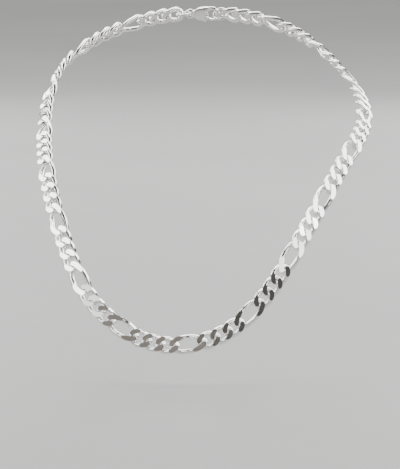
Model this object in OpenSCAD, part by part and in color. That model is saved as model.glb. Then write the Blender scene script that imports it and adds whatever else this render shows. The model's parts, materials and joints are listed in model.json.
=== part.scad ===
// Figaro chain necklace, worn round a neck, with a lobster clasp at the nape.
// The origin is the middle of the clasp. +Z is up and -Y is the wearer's front.

/* [Chain] */
// Width of a short link across the chain
short_width = 7.2; // [7:0.1:7.4]
// Width of a long link across the chain
long_width = 7.7; // [7.5:0.1:7.9]
// Diameter of the round wire that a link is bent from
wire_d = 1.96; // [1.9:0.02:2]
// Length of chain that one short link adds
short_pitch = 5.6; // [5.4:0.1:5.9]
// Length of chain that one long link adds
long_pitch = 11.1; // [10.5:0.1:12]
// Thickness of a link over its two cut faces
link_thick = 2.9; // [2.7:0.1:3.2]
// Turn of each end of a link out of the link's own plane
end_turn = 55; // [53:0.5:57]
// Free play between two links that hold each other
play = 0.24; // [0.2:0.01:0.28]

/* [Clasp] */
// Thickness of the clasp's body
clasp_thick = 2.8; // [2.6:0.1:3]
// Length of chain that the clasp adds, between its two rings
clasp_pitch = 12.5; // [12.3:0.1:13]
// Middle diameter of the jump ring and of the end ring
ring_d = 5.6; // [5.5:0.1:5.8]
// Wire diameter of the jump ring and of the end ring
ring_wire_d = 1.1; // [1:0.05:1.15]

/* [Hidden] */
// Pairs of links from the nape outwards; every fourth pair is long
PAIRS = 35;
LONG_EVERY = 4;

// Where the chain lies round the neck and over the chest: the corners of a closed smooth curve
route = [
    [20, -137, -119], [43, -130, -79], [61, -107, -50], [72, -79, -39], [68, -49, -25],
    [41, -18, -1], [2, -1, 2], [-25, -3, -1], [-60, -25, -16], [-65, -55, -41],
    [-61, -101, -63], [-47, -125, -101], [-36, -131, -113], [-15, -138, -126]
];
// Corner number at the nape, steps on each stretch of the curve, and the middle of the neck
nape_corner = 6.04;
route_steps = 24;
neck_y = -50;
// How far the chain's face leans up, at the front and nape, and what the shoulders add
lean_front = 22;
lean_shoulder = 42;

// How late the turn comes towards an end, as a power of the way along the link
turn_power = 1.25;
// Sides of the wire, stations round a link, and how square each oval is
wire_sides = 8;
short_stations = 12;
long_stations = 18;
short_oval = 0.72;
long_oval = 0.64;

wire_r = wire_d / 2;
round_fn = 48;

// Wire of the rings and of the clasp's eye, and half the distance between the middles of the two
ring_wire_r = ring_wire_d / 2;
eye_wire_r = 0.65;
hold_gap = (ring_wire_r + eye_wire_r + play) / 2;
ring_turn = 22;
// Distance from the clasp's end of a ring's pitch to the ring's middle, and that pitch
ring_middle = ring_d / 2 - hold_gap;
ring_pitch = ring_middle + ring_d / 2 - (ring_wire_r + wire_r + play) + (wire_d + play) / 2;

// ---- The route --------------------------------------------------------------------------

// Point on one stretch of a uniform cubic B-spline
function spline_point(a, b, c, d, t) =
    (a * pow(1 - t, 3) + b * (3 * pow(t, 3) - 6 * pow(t, 2) + 4)
        + c * (-3 * pow(t, 3) + 3 * pow(t, 2) + 3 * t + 1) + d * pow(t, 3)) / 6;

function corner(i) = route[(i + len(route)) % len(route)];

function route_point(u) =
    let (i = floor(u))
    spline_point(corner(i - 1), corner(i), corner(i + 1), corner(i + 2), u - i);

// The whole loop as points from the nape, down the wearer's right, and back up the left
loop_points = [
    for (k = [0:len(route) * route_steps])
        route_point(nape_corner + k / route_steps) - route_point(nape_corner)
];

// Length along the loop up to each point
loop_lengths = [
    for (i = 0, s = 0; i < len(loop_points);
        s = s + (i + 1 < len(loop_points) ? norm(loop_points[i + 1] - loop_points[i]) : 0), i = i + 1) s
];

function pair_pitch(i) = i % LONG_EVERY == 0 ? long_pitch : short_pitch;

// Length along the chain from the nape to the far end of pair i; pair 0 is the two rings
function length_to(i) =
    i < 0 ? clasp_pitch / 2
    : i == 0 ? length_to(-1) + ring_pitch
    : length_to(i - 1) + pair_pitch(i);

chain_length = 2 * length_to(PAIRS) + long_pitch;
route_scale = chain_length / loop_lengths[len(loop_lengths) - 1];

xs = [for (i = [0:len(loop_points) - 1]) [loop_lengths[i] * route_scale, loop_points[i].x * route_scale]];
ys = [for (i = [0:len(loop_points) - 1]) [loop_lengths[i] * route_scale, loop_points[i].y * route_scale]];
zs = [for (i = [0:len(loop_points) - 1]) [loop_lengths[i] * route_scale, loop_points[i].z * route_scale]];

// Point at a length along the loop, which may be counted back from the nape
function point_at(s) =
    let (t = s < 0 ? s + chain_length : s)
    [lookup(t, xs), lookup(t, ys), lookup(t, zs)];

function unit(v) = v / norm(v);

// Way out of the neck and chest at a point
function outward(p) =
    [p.x, p.y - neck_y, lean_front + lean_shoulder * min(1, abs(p.x) / 60)];

// Puts its children between two points of the loop: x along the chain, z out of the body
module on_route(from_s, to_s) {
    a = point_at(from_s);
    b = point_at(to_s);
    x = unit(b - a);
    out = outward((a + b) / 2);
    z = unit(out - x * (out * x));
    y = cross(z, x);
    m = (a + b) / 2;
    multmatrix([
        [x.x, y.x, z.x, m.x],
        [x.y, y.y, z.y, m.y],
        [x.z, y.z, z.z, m.z],
        [0, 0, 0, 1]
    ]) children();
}

// The same stretch on both sides of the nape; both copies keep the same hand
module on_both_sides(from_s, to_s) {
    on_route(from_s, to_s) children();
    on_route(chain_length - to_s, chain_length - from_s) children();
}

// ---- Links ------------------------------------------------------------------------------

// Turn out of the link's plane, from -1 along it at its back end to 1 at its front end
function wire_turn(along) = -end_turn * sign(along) * pow(abs(along), turn_power);

// Middle of the wire at an angle round the link, once its ends are turned out of plane
function wire_middle(half_length, half_width, oval, angle) =
    let (
        c = cos(angle),
        s = sin(angle),
        x = half_length * sign(c) * pow(abs(c), oval),
        y = half_width * sign(s) * pow(abs(s), oval),
        turn = wire_turn(x / half_length)
    )
    [x, y * cos(turn), y * sin(turn)];

// One corner of the wire's section, cut back to the link's flat faces
function wire_corner(half_length, half_width, oval, angle, side) =
    let (
        here = wire_middle(half_length, half_width, oval, angle),
        before = wire_middle(half_length, half_width, oval, angle - 2),
        after = wire_middle(half_length, half_width, oval, angle + 2),
        along = unit(after - before),
        turn = wire_turn(here.x / half_length),
        across = unit(cross([0, -sin(turn), cos(turn)], along)),
        up = cross(along, across),
        swing = 360 * (side + 0.5) / wire_sides,
        p = here + wire_r * (cos(swing) * across + sin(swing) * up)
    )
    [p.x, p.y, max(-link_thick / 2, min(link_thick / 2, p.z))];

// Two triangles for each facet of a closed tube
function tube_faces(stations, sides) = [
    for (i = [0:stations - 1], j = [0:sides - 1])
        let (
            next_i = (i + 1) % stations,
            next_j = (j + 1) % sides,
            a = i * sides + j,
            b = i * sides + next_j,
            c = next_i * sides + next_j,
            d = next_i * sides + j
        )
        each [[a, c, b], [a, d, c]]
];

// A closed curb link whose pitch along the chain and width across it are given
module link(pitch, width, stations, oval) {
    half_length = (pitch + wire_d + play) / 2;
    half_width = (width - wire_d) / 2;
    polyhedron(
        points = [
            for (i = [0:stations - 1], j = [0:wire_sides - 1])
                wire_corner(half_length, half_width, oval, 360 * i / stations, j)
        ],
        faces = tube_faces(stations, wire_sides)
    );
}

module short_link() {
    link(short_pitch, short_width, short_stations, short_oval);
}

module long_link() {
    link(long_pitch, long_width, long_stations, long_oval);
}

function pair_name(i) =
    str(i % LONG_EVERY == 0 ? "long" : "short", "_links_", i < 10 ? "0" : "", i);

// The i-th link from the rings, on both sides of the neck
module link_pair(i) {
    color("silver")
        on_both_sides(length_to(i - 1), length_to(i)) {
            if (i % LONG_EVERY == 0) long_link();
            else short_link();
        }
}

module front_long_link() {
    color("silver")
        on_route(length_to(PAIRS), length_to(PAIRS) + long_pitch) long_link();
}

// ---- Rings ------------------------------------------------------------------------------

// A soldered ring of round wire, turned part of the way from on edge to square with its link
module ring(turn) {
    rotate([90 + turn, 0, 0])
        rotate_extrude($fn = round_fn)
            translate([ring_d / 2, 0]) circle(r = ring_wire_r, $fn = round_fn);
}

// On the wearer's right, between the clasp's eye and the first link
module jump_ring() {
    color("silver")
        on_route(length_to(-1), length_to(0))
            translate([ring_middle - ring_pitch / 2, 0, 0]) ring(ring_turn);
}

// On the wearer's left, held in the clasp's hook
module end_ring() {
    color("silver")
        on_route(chain_length - length_to(0), chain_length - length_to(-1))
            translate([ring_pitch / 2 - ring_middle, 0, 0]) ring(-ring_turn);
}

// ---- Lobster clasp ----------------------------------------------------------------------
// In the clasp's own axes x points to its eye, y across it and z out of the neck.

// Middle radius of the round hook, its wire, and the radius of the base's domed faces
hook_r = 2.7;
hook_wire_r = 0.8;
dome_r = 7;
// Middle radius of the eye, and the neck that joins it to the body
eye_r = 1.6;
// Lever, the slot that it turns in, and the thin gaps round it
lever_thick = 0.9;
slot_thick = 1;
pivot_r = 0.95;
pivot = [0.9, -1.9];
tip_reach = 6.6;
tip_gap = 0.15;
arm_inner_r = 2.45;
arm_outer_r = 3.3;
// Rivet, its heads and its running bore in the lever
rivet_r = 0.38;
rivet_bore_r = 0.43;
rivet_head_r = 0.62;
head_seat = 1;
head_thick = 0.2;
// Coil spring that pushes the lever shut
spring_d = 0.9;
spring_wire_d = 0.18;
spring_turns = 5;
spring_x = -0.45;
spring_low = -1.1;
spring_high = 1.45;
spring_sides = 6;
spring_steps = 10;

hook_x = hook_r + hold_gap - clasp_pitch / 2 - ring_wire_r - hook_wire_r - play;
eye_x = clasp_pitch / 2 + hold_gap - eye_r;

module at_clasp() {
    on_route(-clasp_pitch / 2, clasp_pitch / 2) children();
}

function on_hook(r, angle) = [hook_x + r * cos(angle), r * sin(angle)];

module disc(r, at = [0, 0]) {
    translate(at) circle(r = r, $fn = round_fn);
}

module peg(r, low, high, at = pivot) {
    translate([at.x, at.y, low]) cylinder(r = r, h = high - low, $fn = round_fn);
}

// Outline of the body's base, from the hook to a neck at the eye
module base_outline() {
    polygon([
        [hook_x + 1.2, 3.2], [-1.2, 3.2], [0.6, 2.85], [2.4, 2.1], [3.6, 1.2], [eye_x, 0.8],
        [eye_x, -0.8], [3.6, -1.2], [2.6, -2.2], [1.6, -2.95], [-1.1, -2.95], [hook_x + 1.8, 0]
    ]);
}

// The mouth that the lever closes
module mouth() {
    intersection() {
        disc(tip_reach + tip_gap, pivot);
        polygon([[-8, -6], [-8, -1.2], [hook_x, -0.9], [-1.25, -1.15], [-1.25, -6]]);
    }
}

// Room inside the body for the lever's root and the spring
module slot() {
    disc(pivot_r + tip_gap, pivot);
    polygon([
        [-3.2, -0.7], [-1.2, -0.7], [-1.2, spring_high], [0.25, spring_high], [0.25, -0.9],
        [pivot.x, pivot.y + pivot_r + tip_gap], [pivot.x, -4], [-3.2, -4]
    ]);
}

// Upper half of a ring of round wire
module half_ring(middle_r, wire) {
    rotate_extrude($fn = round_fn) intersection() {
        disc(wire, [middle_r, 0]);
        square([middle_r + wire, wire]);
    }
}

// Front half of the body, from the flat joint at z = 0 up to its domed face
module shell() {
    difference() {
        union() {
            translate([hook_x, 0, 0]) half_ring(hook_r, hook_wire_r);
            intersection() {
                translate([0, 0, clasp_thick / 2 - dome_r])
                    rotate([0, 90, 0]) cylinder(r = dome_r, h = 30, center = true, $fn = round_fn);
                linear_extrude(clasp_thick) difference() {
                    base_outline();
                    disc(hook_r - hook_wire_r / 2, [hook_x, 0]);
                    disc(eye_r, [eye_x, 0]);
                }
            }
        }
        translate([0, 0, -1]) linear_extrude(clasp_thick) mouth();
        translate([0, 0, -slot_thick / 2]) linear_extrude(slot_thick) slot();
        peg(rivet_r, -clasp_thick, clasp_thick);
        peg(rivet_head_r, head_seat, clasp_thick);
    }
    translate([eye_x, 0, 0]) half_ring(eye_r, eye_wire_r);
}

module clasp_front_shell() {
    color("silver") at_clasp() shell();
}

module clasp_back_shell() {
    color("silver") at_clasp() mirror([0, 0, 1]) shell();
}

module clasp_rivet() {
    color("gray") at_clasp() {
        peg(rivet_r, -head_seat, head_seat);
        peg(rivet_head_r, head_seat, head_seat + head_thick);
        peg(rivet_head_r, -head_seat - head_thick, -head_seat);
    }
}

module arm_outline() {
    intersection() {
        disc(tip_reach, pivot);
        polygon(concat(
            [for (angle = [-130:5:-55]) on_hook(arm_outer_r, angle)],
            [pivot + [-0.1, -0.94], pivot + [-0.3, 0.9]],
            [for (angle = [-42:-4:-130]) on_hook(arm_inner_r, angle)]
        ));
    }
}

// Gate, pivot boss and thumb piece in one
module clasp_lever() {
    color("silver") at_clasp() difference() {
        linear_extrude(lever_thick, center = true) {
            disc(pivot_r, pivot);
            arm_outline();
            polygon([[-1.7, -2.5], [-1.6, -3.6], [-1.1, -4.1], [-0.6, -4], [-0.1, -3.2], [0.4, -2.7]]);
        }
        peg(rivet_bore_r, -clasp_thick, clasp_thick);
    }
}

// Point on the spring's wire, a number of turns from its lower end
function spring_middle(turn) = [
    spring_x + (spring_d - spring_wire_d) / 2 * cos(360 * turn),
    spring_low + spring_wire_d / 2 + (spring_high - spring_low - spring_wire_d) * turn / spring_turns,
    (spring_d - spring_wire_d) / 2 * sin(360 * turn)
];

function spring_corner(turn, side) =
    let (
        radial = [cos(360 * turn), 0, sin(360 * turn)],
        along = unit(spring_middle(turn + 0.01) - spring_middle(turn - 0.01)),
        across = cross(along, radial),
        swing = 360 * side / spring_sides
    )
    spring_middle(turn) + spring_wire_d / 2 * (cos(swing) * radial + sin(swing) * across);

module clasp_spring() {
    rings = spring_turns * spring_steps;
    color("gray") at_clasp() polyhedron(
        points = [
            for (i = [0:rings], j = [0:spring_sides - 1]) spring_corner(i / spring_steps, j)
        ],
        faces = concat(
            [[for (j = [0:spring_sides - 1]) j]],
            [[for (j = [spring_sides - 1:-1:0]) rings * spring_sides + j]],
            [
                for (i = [0:rings - 1], j = [0:spring_sides - 1])
                    let (
                        a = i * spring_sides + j,
                        b = i * spring_sides + (j + 1) % spring_sides
                    )
                    each [[a, b + spring_sides, b], [a, a + spring_sides, b + spring_sides]]
            ]
        )
    );
}

clasp_front_shell();
clasp_back_shell();
clasp_rivet();
clasp_spring();
clasp_lever();
jump_ring();
end_ring();
for (i = [1:PAIRS])
    link_pair(i);
front_long_link();
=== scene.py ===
"""Looks of the Figaro chain necklace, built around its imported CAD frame."""

import json
import math

import bmesh
import bpy
import numpy as np
from mathutils import Matrix, Vector


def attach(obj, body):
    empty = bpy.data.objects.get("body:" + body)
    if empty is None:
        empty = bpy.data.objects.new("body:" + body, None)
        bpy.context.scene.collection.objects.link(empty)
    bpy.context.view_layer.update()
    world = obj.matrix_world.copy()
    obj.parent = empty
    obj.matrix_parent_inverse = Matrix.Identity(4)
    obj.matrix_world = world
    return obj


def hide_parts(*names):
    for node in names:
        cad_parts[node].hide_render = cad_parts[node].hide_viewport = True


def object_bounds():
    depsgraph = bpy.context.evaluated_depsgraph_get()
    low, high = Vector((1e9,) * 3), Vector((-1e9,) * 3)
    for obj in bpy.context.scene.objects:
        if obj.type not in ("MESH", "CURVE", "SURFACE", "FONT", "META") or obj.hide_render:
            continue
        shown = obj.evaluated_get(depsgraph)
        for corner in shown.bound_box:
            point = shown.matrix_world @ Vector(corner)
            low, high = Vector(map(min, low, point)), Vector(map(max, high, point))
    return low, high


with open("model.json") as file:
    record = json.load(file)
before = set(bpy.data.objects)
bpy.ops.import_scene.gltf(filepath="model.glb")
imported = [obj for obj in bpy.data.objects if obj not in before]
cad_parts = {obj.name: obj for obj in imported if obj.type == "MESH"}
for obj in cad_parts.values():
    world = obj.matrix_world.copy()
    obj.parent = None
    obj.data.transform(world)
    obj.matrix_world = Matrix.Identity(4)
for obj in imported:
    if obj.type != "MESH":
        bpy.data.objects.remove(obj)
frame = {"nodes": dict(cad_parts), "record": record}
cad_box = [[float(x) for x in corner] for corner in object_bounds()]

MM = 0.001

# Driving dimensions of the chain and the rings, the same as the CAD source's
SHORT_WIDTH = 7.2 * MM
LONG_WIDTH = 7.7 * MM
LINK_THICK = 2.9 * MM
WIRE_D = 1.96 * MM
PLAY = 0.24 * MM
SHORT_PITCH = 5.6 * MM
LONG_PITCH = 11.1 * MM
END_TURN = math.radians(55)
TURN_POWER = 1.25
SHORT_OVAL = 0.72
LONG_OVAL = 0.64
RING_D = 5.6 * MM
RING_WIRE_D = 1.1 * MM

# Resolution of the fine meshes
WIRE_SIDES = 32
SHORT_STATIONS = 96
LONG_STATIONS = 128
RING_STATIONS = 96
SAMPLES_PER_STATION = 16

# Rounded edges: their width, and how many faces go round them
FACET_EDGE = 0.06 * MM
FACET_EDGE_FACES = 3
CLASP_EDGE = 0.07 * MM
CLASP_EDGE_FACES = 2

# Tolerances of the mesh work
WELD = 1e-7  # corners this close are one
CUT_TOLERANCE = 1e-8  # corners this close to a cut lie on it
DIRECTION_STEP = 0.01  # angle round a link over which its wire's direction is taken

# Angles between two faces of the clasp
FLAT_ANGLE = math.radians(0.5)  # below this they become one
ROUNDED_ANGLE = math.radians(32)  # above this their edge is rounded
SHARP_ANGLE = math.radians(28)  # above this their edge is shaded sharp

# Where nearly all the values of a noise texture lie
NOISE_LOW = 0.3
NOISE_HIGH = 0.7

# Camera: where it looks, how far off and how steeply down, and the width that it takes in
LOOK_AT = Vector((-0.001, -0.132, -0.080))
CAMERA_DISTANCE = 1.0
CAMERA_TILT = math.radians(8)
FRAME_WIDTH = 0.1576

FLOOR_SIZE = 24
FLOOR_GAP = 0.012


# ---- Meshes ------------------------------------------------------------------------------


def to_mesh(bm, name):
    """A named mesh of an edit mesh, which is then freed."""
    mesh = bpy.data.meshes.new(name)
    bm.to_mesh(mesh)
    bm.free()
    return mesh


def wire_middle(half_length, half_width, oval, angle):
    """Middle of a link's wire at an angle round it, and the turn of the wire out of plane there."""
    c, s = math.cos(angle), math.sin(angle)
    x = half_length * math.copysign(abs(c) ** oval, c)
    y = half_width * math.copysign(abs(s) ** oval, s)
    turn = -END_TURN * math.copysign(abs(x / half_length) ** TURN_POWER, x)
    return Vector((x, y * math.cos(turn), y * math.sin(turn))), turn


def even_angles(middle, count):
    """Angles round a link that put the stations about evenly along its wire."""
    fine = np.linspace(0, 2 * math.pi, SAMPLES_PER_STATION * count + 1)
    points = np.array([middle(angle)[0] for angle in fine])
    steps = np.linalg.norm(np.diff(points, axis=0), axis=1)
    length = np.concatenate([[0], np.cumsum(steps)])
    return np.interp(np.arange(count) * length[-1] / count, length, fine)


def tube(bm, rings):
    """Adds the faces of a closed tube over rings of section points."""
    rows = [[bm.verts.new(point) for point in ring] for ring in rings]
    for row, following in zip(rows, rows[1:] + rows[:1]):
        for j, corner in enumerate(row):
            k = (j + 1) % len(row)
            face = bm.faces.new((corner, row[k], following[k], following[j]))
            face.smooth = True
    bmesh.ops.recalc_face_normals(bm, faces=bm.faces)


def link_section(middle, angle):
    """Points of the round wire's section at one station of a link."""
    here, turn = middle(angle)
    along = (middle(angle + DIRECTION_STEP)[0] - middle(angle - DIRECTION_STEP)[0]).normalized()
    across = Vector((0, -math.sin(turn), math.cos(turn))).cross(along).normalized()
    up = along.cross(across)
    swings = [2 * math.pi * (side + 0.5) / WIRE_SIDES for side in range(WIRE_SIDES)]
    return [here + WIRE_D / 2 * (math.cos(w) * across + math.sin(w) * up) for w in swings]


def cut_flat(bm, side):
    """Cuts a link off flat at one of its two faces, and returns the rims of the cuts."""
    everything = bm.verts[:] + bm.edges[:] + bm.faces[:]
    made = bmesh.ops.bisect_plane(
        bm, geom=everything, dist=CUT_TOLERANCE, plane_co=(0, 0, side * LINK_THICK / 2),
        plane_no=(0, 0, side), clear_outer=True,
    )
    rims = [e for e in made["geom_cut"] if isinstance(e, bmesh.types.BMEdge)]
    for face in bmesh.ops.holes_fill(bm, edges=rims, sides=0)["faces"]:
        face.material_index = 1
    return rims


def link_mesh(name, pitch, width, oval, stations):
    """A curb link about its own middle, with x along the chain and z across its two flat faces."""
    half_length = (pitch + WIRE_D + PLAY) / 2
    half_width = (width - WIRE_D) / 2

    def middle(angle):
        return wire_middle(half_length, half_width, oval, angle)

    bm = bmesh.new()
    tube(bm, [link_section(middle, angle) for angle in even_angles(middle, stations)])
    rims = cut_flat(bm, 1) + cut_flat(bm, -1)
    bmesh.ops.bevel(
        bm, geom=[e for e in rims if e.is_valid], offset=FACET_EDGE, segments=FACET_EDGE_FACES,
        profile=0.5, affect="EDGES", clamp_overlap=True, material=0,
    )
    for face in bm.faces:
        face.smooth = face.material_index == 0
    return to_mesh(bm, name)


def ring_mesh(name):
    """A ring of round wire about its own middle, with z along its axis."""
    bm = bmesh.new()
    up = Vector((0, 0, 1))
    swings = [2 * math.pi * side / WIRE_SIDES for side in range(WIRE_SIDES)]
    rings = []
    for station in range(RING_STATIONS):
        angle = 2 * math.pi * station / RING_STATIONS
        out = Vector((math.cos(angle), math.sin(angle), 0))
        rings.append([
            RING_D / 2 * out + RING_WIRE_D / 2 * (math.cos(w) * out + math.sin(w) * up) for w in swings
        ])
    tube(bm, rings)
    return to_mesh(bm, name)


# ---- Places from the frame ---------------------------------------------------------------


def welded(node):
    """Edit mesh of a CAD node, with its doubled corners joined."""
    bm = bmesh.new()
    bm.from_mesh(frame["nodes"][node].data)
    bmesh.ops.remove_doubles(bm, verts=bm.verts, dist=WELD)
    return bm


def loose_parts(node):
    """Corner points of each separate solid in a CAD node, the one on the wearer's right first."""
    bm = welded(node)
    seen = set()
    parts = []
    for start in bm.verts:
        if start in seen:
            continue
        seen.add(start)
        found = [start]
        for corner in found:
            for edge in corner.link_edges:
                other = edge.other_vert(corner)
                if other not in seen:
                    seen.add(other)
                    found.append(other)
        parts.append(np.array([corner.co[:] for corner in found]))
    bm.free()
    return sorted(parts, key=lambda points: points[:, 0].mean())


def own_axes(points):
    """Matrix of a solid's middle and principal axes, the longest as x and the shortest as z."""
    middle = points.mean(axis=0)
    vectors = np.linalg.eigh(np.cov((points - middle).T))[1]
    x, z = Vector(vectors[:, 2]), Vector(vectors[:, 0])
    y = z.cross(x)
    turn = Matrix((x, y, z)).transposed().to_4x4()
    return Matrix.Translation(Vector(middle)) @ turn


def body_of(node):
    """Name of the moving body that a CAD node belongs to."""
    bodies = frame["record"]["behaviour"]["bodies"]
    return next(body for body, nodes in bodies.items() if node in nodes)


def place(name, mesh, node, materials):
    """A new piece that rides on a node's body and stands for that node."""
    piece = bpy.data.objects.new(name, mesh)
    bpy.context.scene.collection.objects.link(piece)
    for material in materials:
        mesh.materials.append(material)
    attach(piece, body_of(node))
    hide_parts(node)
    return piece


def moved_copy(mesh, name, matrix):
    """A copy of a mesh under a new name, moved by a matrix."""
    copy = mesh.copy()
    copy.name = name
    copy.transform(matrix)
    return copy


# ---- Materials ---------------------------------------------------------------------------


def new_material(name, metallic, roughness):
    """A material with its node tree and its shader, all one tone until textures are linked in."""
    material = bpy.data.materials.new(name)
    material.use_nodes = True
    shader = material.node_tree.nodes["Principled BSDF"]
    shader.inputs["Metallic"].default_value = metallic
    shader.inputs["Roughness"].default_value = roughness
    return material, material.node_tree, shader


def noise(tree, scale, stretch=(1, 1, 1), detail=4.0):
    """Noise over the piece's own coordinates, made finer along an axis by its stretch."""
    coordinates = tree.nodes.new("ShaderNodeTexCoord")
    mapping = tree.nodes.new("ShaderNodeMapping")
    mapping.inputs["Scale"].default_value = stretch
    tree.links.new(coordinates.outputs["Object"], mapping.inputs["Vector"])
    texture = tree.nodes.new("ShaderNodeTexNoise")
    texture.inputs["Scale"].default_value = scale
    texture.inputs["Detail"].default_value = detail
    tree.links.new(mapping.outputs["Vector"], texture.inputs["Vector"])
    return texture.outputs["Fac"]


def colour(tree, shader, value, stops):
    """Gives the shader a colour that follows a value over (position, colour) stops."""
    node = tree.nodes.new("ShaderNodeValToRGB")
    for element, (at, tone) in zip(node.color_ramp.elements, stops):
        element.position = at
        element.color = (*tone, 1)
    tree.links.new(value, node.inputs["Fac"])
    tree.links.new(node.outputs["Color"], shader.inputs["Base Color"])


def vary_roughness(tree, shader, value, low, high):
    """Gives the shader a roughness that follows a noise value."""
    node = tree.nodes.new("ShaderNodeMapRange")
    node.inputs["From Min"].default_value = NOISE_LOW
    node.inputs["From Max"].default_value = NOISE_HIGH
    node.inputs["To Min"].default_value = low
    node.inputs["To Max"].default_value = high
    tree.links.new(value, node.inputs["Value"])
    tree.links.new(node.outputs["Result"], shader.inputs["Roughness"])


def bump(tree, shader, heights):
    """Chains bumps of (height, depth in metres) into the shader's normal."""
    normal = None
    for height, depth in heights:
        node = tree.nodes.new("ShaderNodeBump")
        node.inputs["Strength"].default_value = 1.0
        node.inputs["Distance"].default_value = depth
        tree.links.new(height, node.inputs["Height"])
        if normal:
            tree.links.new(normal, node.inputs["Normal"])
        normal = node.outputs["Normal"]
    tree.links.new(normal, shader.inputs["Normal"])


def polished_silver(name, bright, dull, smooth, rough, wear):
    """Tumbled and polished silver: faint tarnish, soft smears and fine wear scratches."""
    material, tree, shader = new_material(name, 1.0, smooth)
    tarnish = noise(tree, 420, detail=6.0)
    smears = noise(tree, 900)
    waves = noise(tree, 520, detail=2.0)
    scratches = noise(tree, 1500, (1, 9, 4))
    colour(tree, shader, tarnish, [(0.3, dull), (0.62, bright)])
    vary_roughness(tree, shader, smears, smooth, rough)
    bump(tree, shader, [(waves, 0.04 * MM * wear), (scratches, 0.004 * MM * wear)])
    return material


def cut_silver(name):
    """The flat faces left by the cutting tool: mirror bright, a little wavy, with very fine lines."""
    material, tree, shader = new_material(name, 1.0, 0.05)
    tarnish = noise(tree, 300)
    smears = noise(tree, 1200)
    tool_lines = noise(tree, 2500, (1, 8, 8))
    waves = noise(tree, 230, detail=1.0)
    colour(tree, shader, tarnish, [(0.35, (0.84, 0.83, 0.81)), (0.65, (0.93, 0.92, 0.90))])
    vary_roughness(tree, shader, smears, 0.04, 0.11)
    bump(tree, shader, [(tool_lines, 0.002 * MM), (waves, 0.04 * MM)])
    return material


def spring_steel():
    """Drawn steel wire, greyer and duller than the silver."""
    material, tree, shader = new_material("spring_steel", 1.0, 0.3)
    colour(tree, shader, noise(tree, 2600), [(0.3, (0.45, 0.45, 0.47)), (0.7, (0.62, 0.62, 0.64))])
    bump(tree, shader, [(noise(tree, 6000), 0.003 * MM)])
    return material


def pale_floor():
    """Plain matt studio floor."""
    material, tree, shader = new_material("floor", 0.0, 0.65)
    colour(tree, shader, noise(tree, 3.0), [(0.3, (0.27, 0.27, 0.267)), (0.7, (0.30, 0.30, 0.296))])
    return material


# ---- Pieces ------------------------------------------------------------------------------


def build_links():
    """A fine link in the place of each CAD link: a pair of them in a node, but one at the front."""
    wire = polished_silver("link_silver", (0.95, 0.945, 0.93), (0.88, 0.87, 0.85), 0.07, 0.16, 1.0)
    cut = cut_silver("link_cut_faces")
    shapes = {
        "short": link_mesh("short_link_shape", SHORT_PITCH, SHORT_WIDTH, SHORT_OVAL, SHORT_STATIONS),
        "long": link_mesh("long_link_shape", LONG_PITCH, LONG_WIDTH, LONG_OVAL, LONG_STATIONS),
    }
    for node in sorted(frame["nodes"]):
        if "link" not in node:
            continue
        kind = "short" if node.startswith("short") else "long"
        parts = loose_parts(node)
        names = [f"{kind}_link_front"]
        if len(parts) == 2:
            names = [f"{kind}_link_{node[-2:]}_{side}" for side in ("right", "left")]
        for name, points in zip(names, parts):
            mesh = moved_copy(shapes[kind], name, own_axes(points))
            place(name, mesh, node, [wire, cut])
    for shape in shapes.values():
        bpy.data.meshes.remove(shape)


def build_rings(silver):
    """The two rings that the clasp hangs from and hooks into."""
    shape = ring_mesh("ring_shape")
    for node in ("jump_ring", "end_ring"):
        name = node + "_wire"
        mesh = moved_copy(shape, name, own_axes(loose_parts(node)[0]))
        place(name, mesh, node, [silver])
    bpy.data.meshes.remove(shape)


def softened(node, name):
    """A copy of a CAD solid with its sharp edges rounded a little."""
    bm = welded(node)
    bmesh.ops.dissolve_limit(
        bm, angle_limit=FLAT_ANGLE, verts=bm.verts, edges=bm.edges, use_dissolve_boundaries=False
    )
    sharp = [e for e in bm.edges if len(e.link_faces) == 2 and e.calc_face_angle() > ROUNDED_ANGLE]
    bmesh.ops.bevel(
        bm, geom=sharp, offset=CLASP_EDGE, segments=CLASP_EDGE_FACES, profile=0.5, affect="EDGES",
        clamp_overlap=True,
    )
    for face in bm.faces:
        face.smooth = True
    mesh = to_mesh(bm, name)
    mesh.set_sharp_from_angle(angle=SHARP_ANGLE)
    return mesh


def build_clasp(silver):
    """Polished shells, lever and rivet; the CAD spring stays, in steel."""
    for node in ("clasp_front_shell", "clasp_back_shell", "clasp_lever", "clasp_rivet"):
        name = node + "_polished"
        place(name, softened(node, name), node, [silver])
    spring = frame["nodes"]["clasp_spring"]
    spring.data.materials.clear()
    spring.data.materials.append(spring_steel())


# ---- Stage -------------------------------------------------------------------------------


def build_floor(low):
    """The floor, a little below the lowest link."""
    bpy.ops.mesh.primitive_plane_add(size=FLOOR_SIZE, location=(0, 0, low - FLOOR_GAP))
    floor = bpy.context.object
    floor.name = "floor"
    floor.data.materials.append(pale_floor())


def area_light(name, at, aim, size, power, tone=(1, 1, 1)):
    """A rectangular softbox at one point, facing another."""
    data = bpy.data.lights.new(name, "AREA")
    data.shape = "RECTANGLE"
    data.size, data.size_y = size
    data.energy = power
    data.color = tone
    light = bpy.data.objects.new(name, data)
    bpy.context.scene.collection.objects.link(light)
    light.location = at
    light.rotation_euler = (Vector(aim) - Vector(at)).to_track_quat("-Z", "Y").to_euler()


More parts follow.
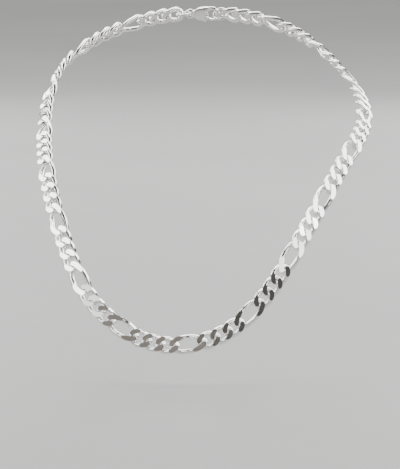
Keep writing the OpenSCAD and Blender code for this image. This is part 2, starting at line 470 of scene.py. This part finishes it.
def build_lights():
    """Softboxes overhead, down both sides and at the corners, and a dim warm card in front."""
    sides_aim = (0, 0.15, -0.08)
    area_light("overhead", (0.0, 0.35, 1.15), LOOK_AT, (1.5, 0.9), 26)
    area_light("left_strip", (-0.98, 0.15, 0.50), sides_aim, (2.2, 0.45), 17)
    area_light("right_strip", (0.92, 0.15, 0.58), sides_aim, (2.8, 0.45), 20)
    area_light("left_back", (-0.52, 1.05, 0.12), LOOK_AT, (0.45, 0.4), 4)
    area_light("right_back", (0.50, 1.05, 0.14), LOOK_AT, (0.45, 0.4), 4)
    area_light("left_front", (-0.62, -0.96, 0.33), LOOK_AT, (0.34, 0.3), 0.6)
    area_light("right_front", (0.60, -1.00, 0.28), LOOK_AT, (0.36, 0.3), 1.2)
    area_light("front_card", (-0.15, -1.15, 0.48), LOOK_AT, (0.7, 0.5), 0.2, (1.0, 0.90, 0.80))
    area_light("far_floor", (0.0, 4.5, 3.0), LOOK_AT, (4.0, 3.0), 190)


def build_world():
    """The even dim grey of the room, seen in the silver between the softboxes."""
    world = bpy.data.worlds.new("studio")
    world.use_nodes = True
    world.node_tree.nodes["Background"].inputs["Color"].default_value = (0.10, 0.097, 0.094, 1)
    bpy.context.scene.world = world


def build_camera():
    """The camera at the photo's angle, in front and a little above."""
    data = bpy.data.cameras.new("camera")
    data.sensor_fit = "HORIZONTAL"
    data.lens = data.sensor_width * CAMERA_DISTANCE / FRAME_WIDTH
    camera = bpy.data.objects.new("camera", data)
    bpy.context.scene.collection.objects.link(camera)
    way = Vector((0, math.cos(CAMERA_TILT), -math.sin(CAMERA_TILT)))
    camera.location = LOOK_AT - way * CAMERA_DISTANCE
    camera.rotation_euler = (math.pi / 2 - CAMERA_TILT, 0, 0)
    bpy.context.scene.camera = camera


clasp_silver = polished_silver("clasp_silver", (0.94, 0.935, 0.92), (0.86, 0.85, 0.83), 0.08, 0.18, 0.7)
build_links()
build_rings(clasp_silver)
build_clasp(clasp_silver)
build_floor(cad_box[0][2])
build_lights()
build_world()
build_camera()
